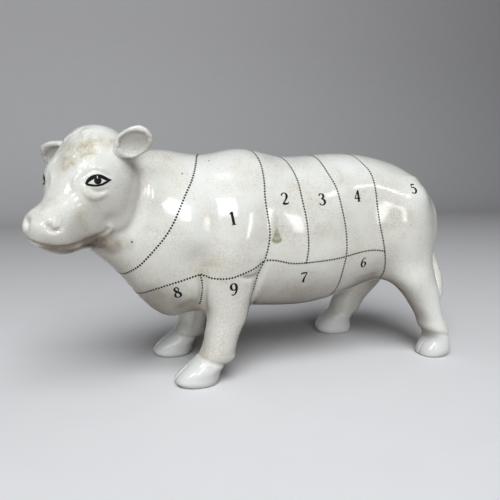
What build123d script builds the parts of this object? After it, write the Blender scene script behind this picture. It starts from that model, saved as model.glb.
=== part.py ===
from build123d import *
import math
import os

os.makedirs("parts", exist_ok=True)

# Glazed earthenware cow figurine, standing, head turned to its left.
# +X runs towards the tail, -Y to the cow's left side, +Z up, feet on Z = 0.

# Overall sizes of the figurine, mm
body_length = 280
back_height = 166
body_width = 94
head_length = 98
ear_length = 36
tail_thickness = 11

# Wall of the hollow casting and the small worked details, mm
wall = 4.5
leg_wall = 5.5
vent_diameter = 7
mouth_width = 2.4
cleft_width = 1.6
cleft_depth = 2.6
nostril_radius = 4.2

# Roundness of the outlines: a quarter ellipse has 0.552, more is fuller
ellipse_share = 0.552
body_share = 0.62
head_share = 0.626

# Barrel, neck and rump, front to back: place along the body and middle of the
# section across it, back line, belly line, half width, height of the widest
# place, roundness. Lengths are shares of body_length, body_width, back_height.
barrel_shares = [
    (-0.607, -0.181, 0.780, 0.705, 0.045, 0.745, ellipse_share),
    (-0.597, -0.170, 0.845, 0.645, 0.130, 0.745, ellipse_share),
    (-0.571, -0.149, 0.892, 0.584, 0.213, 0.747, body_share),
    (-0.518, -0.106, 0.952, 0.500, 0.287, 0.711, body_share),
    (-0.457, -0.064, 0.982, 0.367, 0.351, 0.663, body_share),
    (-0.386, -0.021, 0.991, 0.265, 0.415, 0.614, body_share),
    (-0.286, 0.0, 0.973, 0.271, 0.479, 0.590, body_share),
    (-0.179, 0.0, 1.0, 0.283, 0.500, 0.590, body_share),
    (-0.086, 0.0, 0.973, 0.271, 0.500, 0.578, body_share),
    (0.043, 0.0, 0.976, 0.277, 0.500, 0.578, body_share),
    (0.150, 0.0, 0.982, 0.325, 0.489, 0.602, body_share),
    (0.243, 0.0, 0.958, 0.361, 0.479, 0.627, body_share),
    (0.321, 0.0, 0.904, 0.380, 0.447, 0.633, body_share),
    (0.375, 0.0, 0.831, 0.410, 0.372, 0.627, body_share),
    (0.411, 0.0, 0.735, 0.464, 0.255, 0.614, ellipse_share),
    (0.425, 0.0, 0.627, 0.554, 0.064, 0.596, ellipse_share),
]

# Legs, floor to shoulder or haunch: height as a share of back_height, toe edge
# and heel edge as shares of body_length, middle and half width of body_width.
fore_leg_shares = [
    (0.0, -0.375, -0.275, 0.351, 0.128),
    (0.018, -0.384, -0.271, 0.351, 0.138),
    (0.036, -0.380, -0.268, 0.351, 0.138),
    (0.060, -0.366, -0.263, 0.351, 0.138),
    (0.093, -0.341, -0.243, 0.351, 0.128),
    (0.133, -0.318, -0.229, 0.351, 0.128),
    (0.205, -0.305, -0.213, 0.351, 0.128),
    (0.271, -0.298, -0.200, 0.340, 0.133),
    (0.337, -0.296, -0.186, 0.330, 0.149),
    (0.404, -0.300, -0.168, 0.309, 0.170),
    (0.482, -0.307, -0.150, 0.287, 0.191),
    (0.602, -0.314, -0.136, 0.266, 0.202),
    (0.753, -0.300, -0.164, 0.213, 0.149),
]
left_hind_shares = [
    (0.0, 0.336, 0.421, 0.394, 0.128),
    (0.018, 0.330, 0.429, 0.394, 0.138),
    (0.048, 0.332, 0.430, 0.394, 0.138),
    (0.102, 0.345, 0.423, 0.394, 0.128),
    (0.133, 0.336, 0.421, 0.394, 0.128),
    (0.175, 0.325, 0.413, 0.383, 0.128),
    (0.241, 0.302, 0.396, 0.372, 0.128),
    (0.313, 0.275, 0.393, 0.362, 0.138),
    (0.392, 0.236, 0.386, 0.330, 0.170),
    (0.482, 0.200, 0.386, 0.287, 0.202),
    (0.602, 0.179, 0.393, 0.255, 0.213),
    (0.753, 0.196, 0.371, 0.213, 0.181),
    (0.873, 0.229, 0.321, 0.160, 0.106),
]
right_hind_shares = [
    (0.0, 0.157, 0.264, 0.468, 0.128),
    (0.018, 0.146, 0.268, 0.468, 0.138),
    (0.042, 0.146, 0.268, 0.468, 0.138),
    (0.084, 0.164, 0.268, 0.468, 0.138),
    (0.120, 0.189, 0.289, 0.463, 0.133),
    (0.175, 0.204, 0.311, 0.457, 0.133),
    (0.241, 0.229, 0.339, 0.426, 0.138),
    (0.313, 0.236, 0.368, 0.383, 0.149),
    (0.392, 0.221, 0.386, 0.340, 0.170),
    (0.482, 0.200, 0.386, 0.287, 0.202),
    (0.602, 0.179, 0.393, 0.255, 0.213),
    (0.753, 0.196, 0.371, 0.213, 0.181),
    (0.873, 0.229, 0.321, 0.160, 0.106),
]
right_fore_shift_share = -0.018
bore_foot_share = 0.11
bore_top_share = 0.5
neck_bore_diameter = 40
neck_bore_shares = (-0.393, -0.02, 0.675)
neck_bore_end_share = 0.25
vent_place_share = 0.04
fore_joint_share = 0.253
hind_joint_share = 0.337

# Head, back of the skull to the muzzle: place along the head, half width, rise
# above and drop below the middle line, all shares of head_length.
head_shares = [
    (-0.143, 0.075, 0.140, 0.090),
    (-0.041, 0.175, 0.273, 0.214),
    (0.102, 0.242, 0.350, 0.325),
    (0.245, 0.285, 0.334, 0.407),
    (0.388, 0.268, 0.268, 0.404),
    (0.510, 0.190, 0.175, 0.335),
    (0.612, 0.160, 0.143, 0.262),
    (0.714, 0.176, 0.145, 0.203),
    (0.786, 0.152, 0.120, 0.140),
    (0.832, 0.080, 0.075, 0.060),
    (0.850, 0.028, 0.030, 0.020),
]
head_turn = 44
head_bow = 34.5
head_base_shares = (-0.506, -0.072, 0.934)

# Ears, root to tip: place along the ear, half width, half thickness, shares of
# ear_length. Root and tip sit at forward, sideways, up shares of head_length.
ear_shares = [
    (0.0, 0.16, 0.12),
    (0.20, 0.25, 0.16),
    (0.45, 0.29, 0.17),
    (0.70, 0.27, 0.14),
    (0.88, 0.18, 0.10),
    (1.0, 0.05, 0.04),
]
ear_root_shares = (0.082, 0.175, 0.125)
ear_tilt = 26
ear_droop_right = 9
ear_rim_share = 0.065
ear_scoop_share = 0.13

# Tail, rump to tuft: place along and across the body, height, half thickness
# as a share of tail_thickness.
tail_shares = [
    (0.343, 0.0, 0.810, 0.36),
    (0.389, 0.0, 0.801, 0.45),
    (0.418, -0.021, 0.735, 0.47),
    (0.429, -0.043, 0.639, 0.47),
    (0.430, -0.085, 0.542, 0.46),
    (0.418, -0.160, 0.458, 0.48),
    (0.409, -0.223, 0.386, 0.58),
    (0.404, -0.255, 0.325, 0.66),
    (0.398, -0.266, 0.265, 0.52),
    (0.393, -0.266, 0.226, 0.14),
]

# Face, as forward, sideways and up shares of head_length
nostril_shares = (0.786, 0.118, 0.072)
eye_shares = (0.388, 0.212, 0.135)
eye_bulge_share = 0.085
eye_depth_share = 0.06
mouth_shares = [
    (0.500, 0.178, -0.163),
    (0.590, 0.148, -0.152),
    (0.680, 0.162, -0.112),
    (0.750, 0.156, -0.080),
    (0.800, 0.112, -0.060),
    (0.824, 0.050, -0.044),
]

# Working directions of the head: forwards, out to the left, and up
head_base = Vector(
    head_base_shares[0] * body_length,
    head_base_shares[1] * body_width,
    head_base_shares[2] * back_height,
)
bow = math.radians(head_bow)
turn = math.radians(head_turn)
level = math.cos(bow)
head_front = Vector(-math.cos(turn) * level, -math.sin(turn) * level, -math.sin(bow))
head_left = Vector(math.sin(turn), -math.cos(turn), 0)
head_up = head_front.cross(head_left)
if head_up.Z < 0:
    head_up = -head_up
across = Vector(0, 1, 0)
along = Vector(1, 0, 0)
upward = Vector(0, 0, 1)


def outline(middle, side, rise, half_width, up, down, share):
    """Closed egg-shaped section of four curves round a middle point."""
    right, left = middle + side * half_width, middle - side * half_width
    top, bottom = middle + rise * up, middle - rise * down
    edge = side * half_width * share
    curves = [
        Bezier(right, right + rise * up * share, top + edge, top),
        Bezier(top, top - edge, left + rise * up * share, left),
        Bezier(left, left - rise * down * share, bottom - edge, bottom),
        Bezier(bottom, bottom + edge, right - rise * down * share, right),
    ]
    return Face(Wire(curves))


def barrel(inset, rows):
    """Barrel, neck and rump; inset shrinks every section by a wall."""
    sections = []
    for place, middle, top, belly, half, widest, share in rows:
        centre = Vector(place * body_length, middle * body_width, widest * back_height)
        up = (top - widest) * back_height - inset
        down = (widest - belly) * back_height - inset
        sections.append(outline(centre, across, upward, half * body_width - inset, up, down, share))
    return loft(sections)


def leg(rows, side, shift, inset):
    """One leg with its shoulder or haunch; side is -1 for the cow's left."""
    sections = []
    for height, toe, heel, middle, half in rows:
        front, back = (toe + shift) * body_length, (heel + shift) * body_length
        centre = Vector((front + back) / 2, side * middle * body_width, height * back_height)
        half_length = (back - front) / 2 - inset
        half_width = half * body_width - inset
        sections.append(outline(centre, across, along, half_width, half_length, half_length, body_share))
    return loft(sections)


def head_point(forward, left, up):
    return head_base + head_front * forward + head_left * left + head_up * up


def skull(inset, rows):
    """Head from the back of the skull to the muzzle."""
    sections = []
    for place, half, rise, drop in rows:
        centre = head_point(place * head_length, 0, 0)
        up, down = rise * head_length - inset, drop * head_length - inset
        half_width = half * head_length - inset
        sections.append(outline(centre, head_left, head_up, half_width, up, down, head_share))
    return loft(sections)


def head_share_point(shares, side):
    """Point of the face given as shares; side is 1 for the cow's left."""
    forward, out, up = shares
    return head_point(forward * head_length, side * out * head_length, up * head_length)


def ear_form(side, tilt, inset, lift):
    """One leaf-shaped ear, or with inset and lift the hollow scooped out of it."""
    lean = math.radians(tilt)
    run = head_left * (side * math.cos(lean)) + head_up * math.sin(lean)
    rise = head_front.cross(run) * side
    root = head_share_point(ear_root_shares, side) + head_front * lift
    sections = []
    for place, half, thick in ear_shares:
        centre = root + run * (place * ear_length)
        width = max(half * ear_length - inset, inset / 4)
        depth = thick * ear_length
        sections.append(outline(centre, rise, head_front, width, depth, depth, ellipse_share))
    return loft(sections)


def tail_form():
    """Tail lying on the rump, thickening to the tuft above the hock."""
    path = [Vector(x * body_length, y * body_width, z * back_height) for x, y, z, _ in tail_shares]
    sections = []
    for index, centre in enumerate(path):
        ahead, behind = path[min(index + 1, len(path) - 1)], path[max(index - 1, 0)]
        run = (ahead - behind).normalized()
        side = run.cross(across).normalized()
        rise = run.cross(side)
        half = tail_shares[index][3] * tail_thickness
        sections.append(outline(centre, side, rise, half, half, half, ellipse_share))
    return loft(sections)


def mouth_cut():
    """Round groove from one corner of the mouth, under the nose, to the other."""
    left = [head_share_point(shares, 1) for shares in mouth_shares]
    right = [head_share_point(shares, -1) for shares in reversed(mouth_shares)]
    line = Spline(left + right)
    start = Plane(origin=line @ 0, z_dir=line % 0)
    return sweep(start * Circle(mouth_width / 2), path=line)


def hoof_cleft(rows, side, shift):
    """Upright slot that splits the front of a hoof into two toes."""
    toe = (rows[1][1] + shift) * body_length
    height = rows[4][0] * back_height
    middle = side * rows[1][3] * body_width
    run = (rows[4][1] - rows[1][1]) * body_length
    slot = Box(2 * cleft_depth, cleft_width, math.hypot(run, height))
    lean = math.degrees(math.atan2(run, height))
    return slot.moved(Location((toe + run / 2, middle, height / 2), (0, lean, 0)))


# Outer forms of the casting
outer_barrel = barrel(0, barrel_shares)
outer_skull = skull(0, head_shares)
leg_rows = {
    "fore_leg_left": (fore_leg_shares, -1, 0, fore_joint_share),
    "fore_leg_right": (fore_leg_shares, 1, right_fore_shift_share, fore_joint_share),
    "hind_leg_left": (left_hind_shares, -1, 0, hind_joint_share),
    "hind_leg_right": (right_hind_shares, 1, 0, hind_joint_share),
}

# Barrel and neck, with the shoulders and haunches above the leg joints
trunk = outer_barrel
legs = {}
for name, (rows, side, shift, joint_share) in leg_rows.items():
    joint = Plane(origin=(0, 0, joint_share * back_height), z_dir=(0, 0, 1))
    whole = leg(rows, side, shift, 0)
    lower, upper = whole.split(joint, Keep.BOTTOM), whole.split(joint, Keep.TOP)
    trunk = trunk + upper
    legs[name] = lower - hoof_cleft(rows, side, shift)
outer_trunk = trunk

# Hollow inside: the barrel opens into all four legs, as slip drains through them
trunk = trunk - barrel(wall, barrel_shares[5:-2])
for name, (rows, side, shift, joint_share) in leg_rows.items():
    bore = leg([row for row in rows if bore_foot_share < row[0] < bore_top_share], side, shift, leg_wall)
    trunk = trunk - bore
    legs[name] = legs[name] - bore
vent = Cylinder(vent_diameter / 2, back_height)
trunk = trunk - vent.moved(Location((vent_place_share * body_length, 0, 0)))
place, middle, height = neck_bore_shares
bore_start = Vector(place * body_length, middle * body_width, height * back_height)
bore_end = head_point(neck_bore_end_share * head_length, 0, 0)
bore_run = bore_end - bore_start
bore_plane = Plane(origin=bore_start, z_dir=bore_run)
neck_bore = bore_plane * extrude(Circle(neck_bore_diameter / 2), amount=bore_run.length)
trunk = trunk - neck_bore
trunk = trunk - outer_skull

# Head, hollow, with nostrils, eyeballs and the mouth line
head = outer_skull
for side in (-1, 1):
    eye = Sphere(eye_bulge_share * head_length)
    eye_centre = head_share_point(eye_shares, side) - head_left * (side * eye_depth_share * head_length)
    head = head + eye.moved(Location(eye_centre))
    nostril = Sphere(nostril_radius)
    head = head - nostril.moved(Location(head_share_point(nostril_shares, side)))
head = head - mouth_cut()
head = head - skull(wall, head_shares[2:-2]) - neck_bore

pieces = {"trunk": trunk, "head": head}
pieces.update(legs)

# Ears luted to the sides of the skull
for name, side, tilt in (("ear_left", 1, ear_tilt), ("ear_right", -1, ear_tilt - ear_droop_right)):
    leaf = ear_form(side, tilt, 0, 0)
    scoop = ear_form(side, tilt, ear_rim_share * ear_length, ear_scoop_share * ear_length)
    pieces[name] = leaf - scoop - outer_skull

pieces["tail"] = tail_form() - outer_trunk - leg(left_hind_shares, -1, 0, 0)

# Middle of the footprint goes to the origin, soles on Z = 0
boxes = [piece.bounding_box() for piece in pieces.values()]
shift_x = -(min(box.min.X for box in boxes) + max(box.max.X for box in boxes)) / 2
shift_y = -(min(box.min.Y for box in boxes) + max(box.max.Y for box in boxes)) / 2
for name, piece in pieces.items():
    placed = piece.moved(Location((shift_x, shift_y, 0)))
    placed.label = name
    print(name, round(piece.volume), piece.is_valid, len(piece.solids()), len(piece.faces()))
    export_step(placed, f"parts/{name}.step")
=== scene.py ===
import math

import bmesh
import bpy
import numpy as np
import openvdb
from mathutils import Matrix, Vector
from mathutils.bvhtree import BVHTree


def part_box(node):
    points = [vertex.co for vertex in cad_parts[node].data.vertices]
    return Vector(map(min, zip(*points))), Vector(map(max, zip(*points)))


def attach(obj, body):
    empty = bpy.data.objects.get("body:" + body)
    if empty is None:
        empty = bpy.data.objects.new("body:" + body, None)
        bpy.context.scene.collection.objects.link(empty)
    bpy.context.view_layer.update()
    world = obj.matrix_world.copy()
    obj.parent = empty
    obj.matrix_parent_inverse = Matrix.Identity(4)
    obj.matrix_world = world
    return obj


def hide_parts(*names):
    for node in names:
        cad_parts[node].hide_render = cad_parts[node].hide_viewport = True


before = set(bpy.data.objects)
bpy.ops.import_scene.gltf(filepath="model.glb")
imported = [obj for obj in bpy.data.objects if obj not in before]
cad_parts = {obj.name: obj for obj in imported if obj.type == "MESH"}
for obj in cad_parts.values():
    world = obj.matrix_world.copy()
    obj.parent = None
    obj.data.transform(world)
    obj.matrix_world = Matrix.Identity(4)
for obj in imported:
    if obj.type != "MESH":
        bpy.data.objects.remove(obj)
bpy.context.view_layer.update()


# Barrel, neck, shoulders and haunches: the main part of a slip-cast earthenware
# cow. The clay is one soft form, so legs, neck and head run into the barrel in
# easy fillets. Sizes are in millimetres from the middle of the mould.
class Mould:
    """Clay forms that melt into each other, from which pieces are cast."""

    open_air = 40.0  # the level where no clay is near
    foot_edge = 1.4  # rounding of a sole's edge, where the piece stands

    def __init__(self):
        self.forms, self.touches = [], []

    def add(self, form, low, high, fillet=0.0):
        """A form, the block of space that holds it, and the fillet by which it joins the rest."""
        self.forms.append((form, low, high, fillet))

    def swell(self, place, reach, height):
        """A thumbed swelling, or a hollow where the height is less than nothing."""
        place, reach = np.array(place, float), np.broadcast_to(np.array(reach, float), 3)

        def touch(x, y, z):
            far = ((x - place[0]) / reach[0])**2 + ((y - place[1]) / reach[1])**2 + ((z - place[2]) / reach[2])**2
            return -height * np.exp(-far)
        self.touches.append((touch, place - 2.5 * reach, place + 2.5 * reach, False))

    def tool(self, path, width, depth):
        """A tooled crease along a path, or a ridge where the depth is less than nothing."""
        path = smooth_line(path, 6 * len(path) - 5)
        depths = depth * np.sin(np.linspace(0.12, np.pi - 0.12, len(path)))**0.6

        def touch(x, y, z):
            near, deep = np.full(np.broadcast_shapes(x.shape, y.shape, z.shape), 1e6), 0.0
            for start, end, cut in zip(path[:-1], path[1:], depths):
                _, gap = from_run(x, y, z, start, end)
                deep = np.where(gap < near, cut, deep)
                near = np.minimum(near, gap)
            return deep * np.exp(-near / width**2)
        self.touches.append((touch, path.min(0) - 2.6 * width, path.max(0) + 2.6 * width, depth > 0 and width < 2))

    def field(self, low, high, step):
        """Distance from the clay's skin over a block of points."""
        axes = [np.arange(a, b + step, step, dtype=np.float32) for a, b in zip(low, high)]
        whole = np.full([len(a) for a in axes], self.open_air, np.float32)

        def block(low, high):
            cut = tuple(slice(*np.searchsorted(a, (b, c))) for a, b, c in zip(axes, low, high))
            x, y, z = (a[c] for a, c in zip(axes, cut))
            return cut, x[:, None, None], y[None, :, None], z[None, None, :]
        for form, form_low, form_high, fillet in self.forms:
            cut, x, y, z = block(form_low, form_high)
            if min(x.size, y.size, z.size) > 3:
                whole[cut] = melt(whole[cut], form(x, y, z, step), fillet)
        for touch, touch_low, touch_high, _ in self.touches:
            cut, x, y, z = block(touch_low, touch_high)
            if min(x.size, y.size, z.size) > 1:
                whole[cut] += touch(x, y, z)
        return axes, whole

    def cast(self, name, low, high, step, cuts=(), stands=False):
        """One closed piece; each cut is a plane, and the block of space in which it holds."""
        axes, level = self.field(low, high, step)
        x, y, z = axes[0][:, None, None], axes[1][None, :, None], axes[2][None, None, :]
        if stands:
            level = -melt(-level, z + 0 * level, self.foot_edge)
        for point, outward, zone_low, zone_high in cuts:
            beyond = sum((a - p) * n for a, p, n in zip((x, y, z), point, outward)) - 3 * step
            inside = np.ones(level.shape, bool)
            for a, b, c in zip((x, y, z), zone_low, zone_high):
                inside &= (a > b) & (a < c)
            level = np.where(inside, np.maximum(level, beyond), level)
        grid = openvdb.FloatGrid(self.open_air)
        grid.copyFromArray(np.ascontiguousarray(level, np.float32))
        points, quads = grid.convertToQuads(isovalue=0.0)
        start = np.array([a[0] for a in axes])
        slopes = np.stack(np.gradient(level, step), -1)

        def sample(values, at):
            at = np.clip((at - start) / step, 0, np.array(level.shape) - 1.001)
            i = at.astype(int)
            f, total = at - i, 0
            for corner in np.ndindex(2, 2, 2):
                share = np.prod(np.where(corner, f, 1 - f), 1)
                value = values[tuple((i + corner).T)]
                total = total + (share if values.ndim == 3 else share[:, None]) * value
            return total
        points = points.astype(float) * step + start
        for _ in range(2):
            slope = sample(slopes, points)
            points -= slope * (sample(level, points) / np.maximum((slope**2).sum(1), 0.2))[:, None]
        mesh = bpy.data.meshes.new(name)
        mesh.from_pydata(points.tolist(), [], quads.tolist())
        shape = bmesh.new()
        shape.from_mesh(mesh)
        for point, outward, zone_low, zone_high in cuts:
            faces = [f for f in shape.faces if all(b < a < c for a, b, c in zip(f.verts[0].co, zone_low, zone_high))]
            held = dict.fromkeys([*faces, *(e for f in faces for e in f.edges), *(v for f in faces for v in f.verts)])
            bmesh.ops.bisect_plane(
                shape, geom=list(held), dist=1e-4, plane_co=point, plane_no=outward, clear_outer=True)
        bmesh.ops.holes_fill(shape, edges=[e for e in shape.edges if e.is_boundary], sides=0)
        shape.normal_update()
        if shape.calc_volume(signed=True) < 0:
            bmesh.ops.reverse_faces(shape, faces=shape.faces)
        shape.to_mesh(mesh)
        shape.free()
        places = np.array([v.co for v in mesh.vertices])
        skin = sample(slopes, places)
        skin /= np.linalg.norm(skin, axis=1)[:, None]
        lie = np.empty(len(mesh.loops) * 3, np.float32)
        for face in mesh.polygons:
            face.use_smooth = True
            flat_cut = face.loop_total > 8
            for loop in face.loop_indices:
                lie[3 * loop:3 * loop + 3] = face.normal if flat_cut else skin[mesh.loops[loop].vertex_index]
        mesh.vertices.foreach_set("co", ((places + middle) / 1000).astype(np.float32).ravel())
        mesh.normals_split_custom_set(lie.reshape(-1, 3).tolist())
        # How deep the narrow tooled creases cut at each vertex, which the glaze turns to darker brown.
        fold = np.zeros(len(places))
        for touch, touch_low, touch_high, darkens_glaze in self.touches:
            near = ((places > touch_low) & (places < touch_high)).all(1)
            if darkens_glaze and near.any():
                fold[near] += touch(*places[near].T)
        mesh.attributes.new("fold", "FLOAT", "POINT").data.foreach_set("value", fold.astype(np.float32))
        piece = set_out(name + "_glazed", mesh)
        piece.data.materials.append(glaze)
        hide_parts(name)
        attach(piece, "root")
        return piece


def melt(one, other, fillet):
    """The nearer of two skins, with a fillet where they meet."""
    if not fillet:
        return np.minimum(one, other)
    near = np.maximum(fillet - np.abs(one - other), 0) / fillet
    return np.minimum(one, other) - near**2 * fillet / 4


def fair_curve(rows, at):
    """Natural cubic through a table whose first column is the station."""
    rows = np.array(rows, float)
    knots, values = rows[:, 0], rows[:, 1:]
    gap, count = np.diff(knots), len(knots)
    left, right = np.eye(count), np.zeros_like(values)
    for i in range(1, count - 1):
        left[i, i - 1:i + 2] = gap[i - 1], 2 * (gap[i - 1] + gap[i]), gap[i]
        right[i] = 6 * ((values[i + 1] - values[i]) / gap[i] - (values[i] - values[i - 1]) / gap[i - 1])
    bend = np.linalg.solve(left, right)
    at = np.clip(at, knots[0], knots[-1])
    i = np.clip(np.searchsorted(knots, at, side="right") - 1, 0, count - 2)
    h, after = gap[i][:, None], (at - knots[i])[:, None]
    before = h - after
    return ((bend[i] * before**3 + bend[i + 1] * after**3) / (6 * h)
            + (values[i] / h - bend[i] * h / 6) * before + (values[i + 1] / h - bend[i + 1] * h / 6) * after)


def smooth_line(points, count):
    """A smooth line through points, as so many points."""
    return fair_curve([(i, *p) for i, p in enumerate(points)], np.linspace(0, len(points) - 1, count))


def from_run(x, y, z, start, end):
    """How far along a straight run a point lies beside it, and its distance squared."""
    run = end - start
    t = np.clip(((x - start[0]) * run[0] + (y - start[1]) * run[1] + (z - start[2]) * run[2]) / (run @ run), 0, 1)
    return t, (x - start[0] - t * run[0])**2 + (y - start[1] - t * run[1])**2 + (z - start[2] - t * run[2])**2


def set_out(name, data):
    """An object put into the scene."""
    made = bpy.data.objects.new(name, data)
    bpy.context.scene.collection.objects.link(made)
    return made


def rounded(a, b, width, rise, drop, power=2.25):
    """How far outside an egg-shaped section a point is, 0 on its outline."""
    height = np.where(b > 0, rise, drop)
    return (np.abs(a / width)**power + np.abs(b / height)**power)**(1 / power) - 1


def to_distance(level, step, axis):
    """A section's level made a distance in millimetres; a steep end counts no more than 45 degrees."""
    slopes = np.gradient(level, step)
    run = sum(a * g for a, g in zip(axis, slopes))**2
    side = np.maximum(sum(g**2 for g in slopes) - run, 1e-6)
    return level / np.sqrt(side + np.minimum(run, side))


# Stations along the barrel: x, middle, top, belly, half width, height of the widest line.
barrel_rows = [
    (-165, -15, 145, 102, 17, 124), (-160, -14, 148, 97, 20, 124),
    (-145, -10, 158, 83, 27, 118), (-128, -6, 163, 61, 33, 110), (-108, -2, 164.5, 44, 39, 102),
    (-80, 0, 161.5, 45, 45, 98), (-50, 0, 166, 47, 47, 98), (-24, 0, 161.5, 45, 47, 96),
    (12, 0, 162, 46, 47, 96), (42, 0, 163, 54, 45, 100), (68, 0, 159, 60, 45.5, 104),
    (90, 0, 150, 63, 43, 105), (105, 0, 138, 68, 35, 104), (115, 0, 122, 77, 24, 102), (119, 0, 106, 90, 10, 99),
]
middle = np.array(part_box("fore_leg_left")[0] * 1000 - Vector((-107.52, -46.32, 0)))


def barrel(x, y, z, step):
    table = fair_curve(barrel_rows, x[:, 0, 0]).T.astype(np.float32)
    centre, top, belly, half, widest = (c[:, None, None] for c in table)
    level = rounded(y - centre, z - widest, half, top - widest, widest - belly)
    ends = np.maximum(barrel_rows[0][0] - x, x - barrel_rows[-1][0])
    return -melt(-to_distance(level, step, (1, 0, 0)), -ends, 6)


everywhere = ((-300, -300, -50), (300, 300, 300))
clay = Mould()
clay.add(barrel, (-190, -64, 26), (135, 64, 182))


# The glaze on every piece: cream-white and glossy, crazed all over, with tan stain
# on the poll and face, painted shade in brown under the jaw, brisket and belly,
# darker brown in the narrow creases, and one green run on the ribs.
class Reading:
    """A value of the glaze's recipe; sums on it become nodes."""

    def __init__(self, recipe, socket):
        self.recipe, self.socket = recipe, socket

    def maths(self, kind, *values):
        return self.recipe.node("Math", dict(operation=kind), dict(enumerate((self, *values))))

    def __add__(self, other): return self.maths("ADD", other)
    __radd__ = __add__
    def __sub__(self, other): return self.maths("SUBTRACT", other)
    def __rsub__(self, other): return (self * -1).maths("ADD", other)
    def __mul__(self, other): return self.maths("MULTIPLY", other)
    __rmul__ = __mul__

    def between(self, low, high, start=0.0, end=1.0):
        """A soft ramp from start to end as the value goes from low to high."""
        settings = dict(interpolation_type="SMOOTHSTEP", clamp=True)
        return self.recipe.node("MapRange", settings, {0: self, 1: low, 2: high, 3: start, 4: end})


class Recipe:
    """A finish, written as sums on readings over the surface."""

    def __init__(self, name):
        self.material = bpy.data.materials.new(name)
        self.material.use_nodes = True
        self.tree = self.material.node_tree
        self.shader = self.tree.nodes["Principled BSDF"]
        self.place = self.node("TexCoord", {}, {}, "Object")

    def plug(self, socket, value):
        if isinstance(value, Reading):
            self.tree.links.new(value.socket, socket)
        else:
            socket.default_value = value

    def node(self, kind, settings, sockets, output=0):
        """Any node: its settings first, then the values or links of its sockets."""
        node = self.tree.nodes.new("ShaderNode" + kind)
        for key, value in settings.items():
            setattr(node, key, value)
        for key, value in sockets.items():
            self.plug(node.inputs[key], value)
        return Reading(self, node.outputs[output])

    def tint(self, share, base, over):
        """One colour laid over another by a share."""
        colours = {k: (*v, 1) if isinstance(v, tuple) else v for k, v in ((6, base), (7, over))}
        return self.node("Mix", dict(data_type="RGBA"), {0: share, **colours}, 2)

    def noise(self, scale, detail=3.0, rough=0.5):
        sockets = {"Vector": self.place, "Scale": scale, "Detail": detail, "Roughness": rough}
        return self.node("TexNoise", {}, sockets)

    def near(self, place, reach, full=0.0):
        """1 within full of a spot on the mould, 0 beyond reach, both in millimetres."""
        spot = tuple(float(v) for v in (np.array(place) + middle) / 1000)
        return self.node("VectorMath", dict(operation="DISTANCE"), {0: self.place, 1: spot}, 1).between(
            full / 1000, reach / 1000, 1, 0)

    def stain_and_shade_spots(self, rows, full=0.0):
        """Soft spots that add up to 1 at most; a row is place, reach and strength."""
        total = 0
        for place, reach, strength in rows:
            total = total + self.near(place, reach, reach * full) * strength
        return total.maths("MINIMUM", 1.0)

    def feed(self, **values):
        for key, value in values.items():
            self.plug(self.shader.inputs[key.replace("_", " ")], value)


shades = dict(
    thin=(0.685, 0.71, 0.675), thick=(0.765, 0.80, 0.785), beige=(0.60, 0.56, 0.47), crack=(0.34, 0.27, 0.18),
    hoof=(0.70, 0.73, 0.74), tan=(0.45, 0.405, 0.28), painted_shade=(0.18, 0.14, 0.095), fold=(0.30, 0.22, 0.14),
    green=(0.21, 0.25, 0.14), speck=(0.05, 0.035, 0.025))
recipe = Recipe("cream glaze")
along_body, depth, tall = (recipe.node("SeparateXYZ", {}, {0: recipe.place}, i) for i in range(3))
cloud = recipe.noise(14, 4, 0.55)
fine = recipe.noise(900, 2, 0.5)

# Crazing: a wide net and a fine one, both bent a little out of true.
wander = recipe.node("VectorMath", dict(operation="SCALE"), {
    0: recipe.node("TexNoise", {}, {"Vector": recipe.place, "Scale": 160.0, "Detail": 2.0}, 1), 3: 0.0022})
crazed = recipe.node("VectorMath", dict(operation="ADD"), {0: recipe.place, 1: wander})
net = 0
for scale, width, patches, share in ((340.0, 0.07, 60, 0.5), (820.0, 0.2, 40, 1.0)):
    crack = recipe.node("TexVoronoi", dict(feature="DISTANCE_TO_EDGE"), {"Vector": crazed, "Scale": scale})
    net = net + crack.between(0.01, width, 1, 0) * recipe.noise(patches, 2).between(0.32, 0.6, 0.15, 1) * share
net = net.maths("MINIMUM", 1.0)

# The cream itself, with beige clouds, the crazing's colour, and whiter hooves.
cream = recipe.tint(cloud.between(0.36, 0.66), shades["thin"], shades["thick"])
beige = recipe.noise(32, 5, 0.6).between(0.5, 0.72)
hoof = tall.between(0.010, 0.024, 1, 0)
face = recipe.near((-172, -42, 140), 62, 34)
cream = recipe.tint(beige * (0.3 + face * 0.14), cream, shades["beige"])
crazing = net * (0.22 + beige * 0.2 + cloud.between(0.7, 0.35) * 0.14) * (1 - hoof * 0.7) * (1 - face * 0.2)
cream = recipe.tint(crazing, cream, shades["crack"])
cream = recipe.tint(hoof * 0.8, cream, shades["hoof"])
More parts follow.
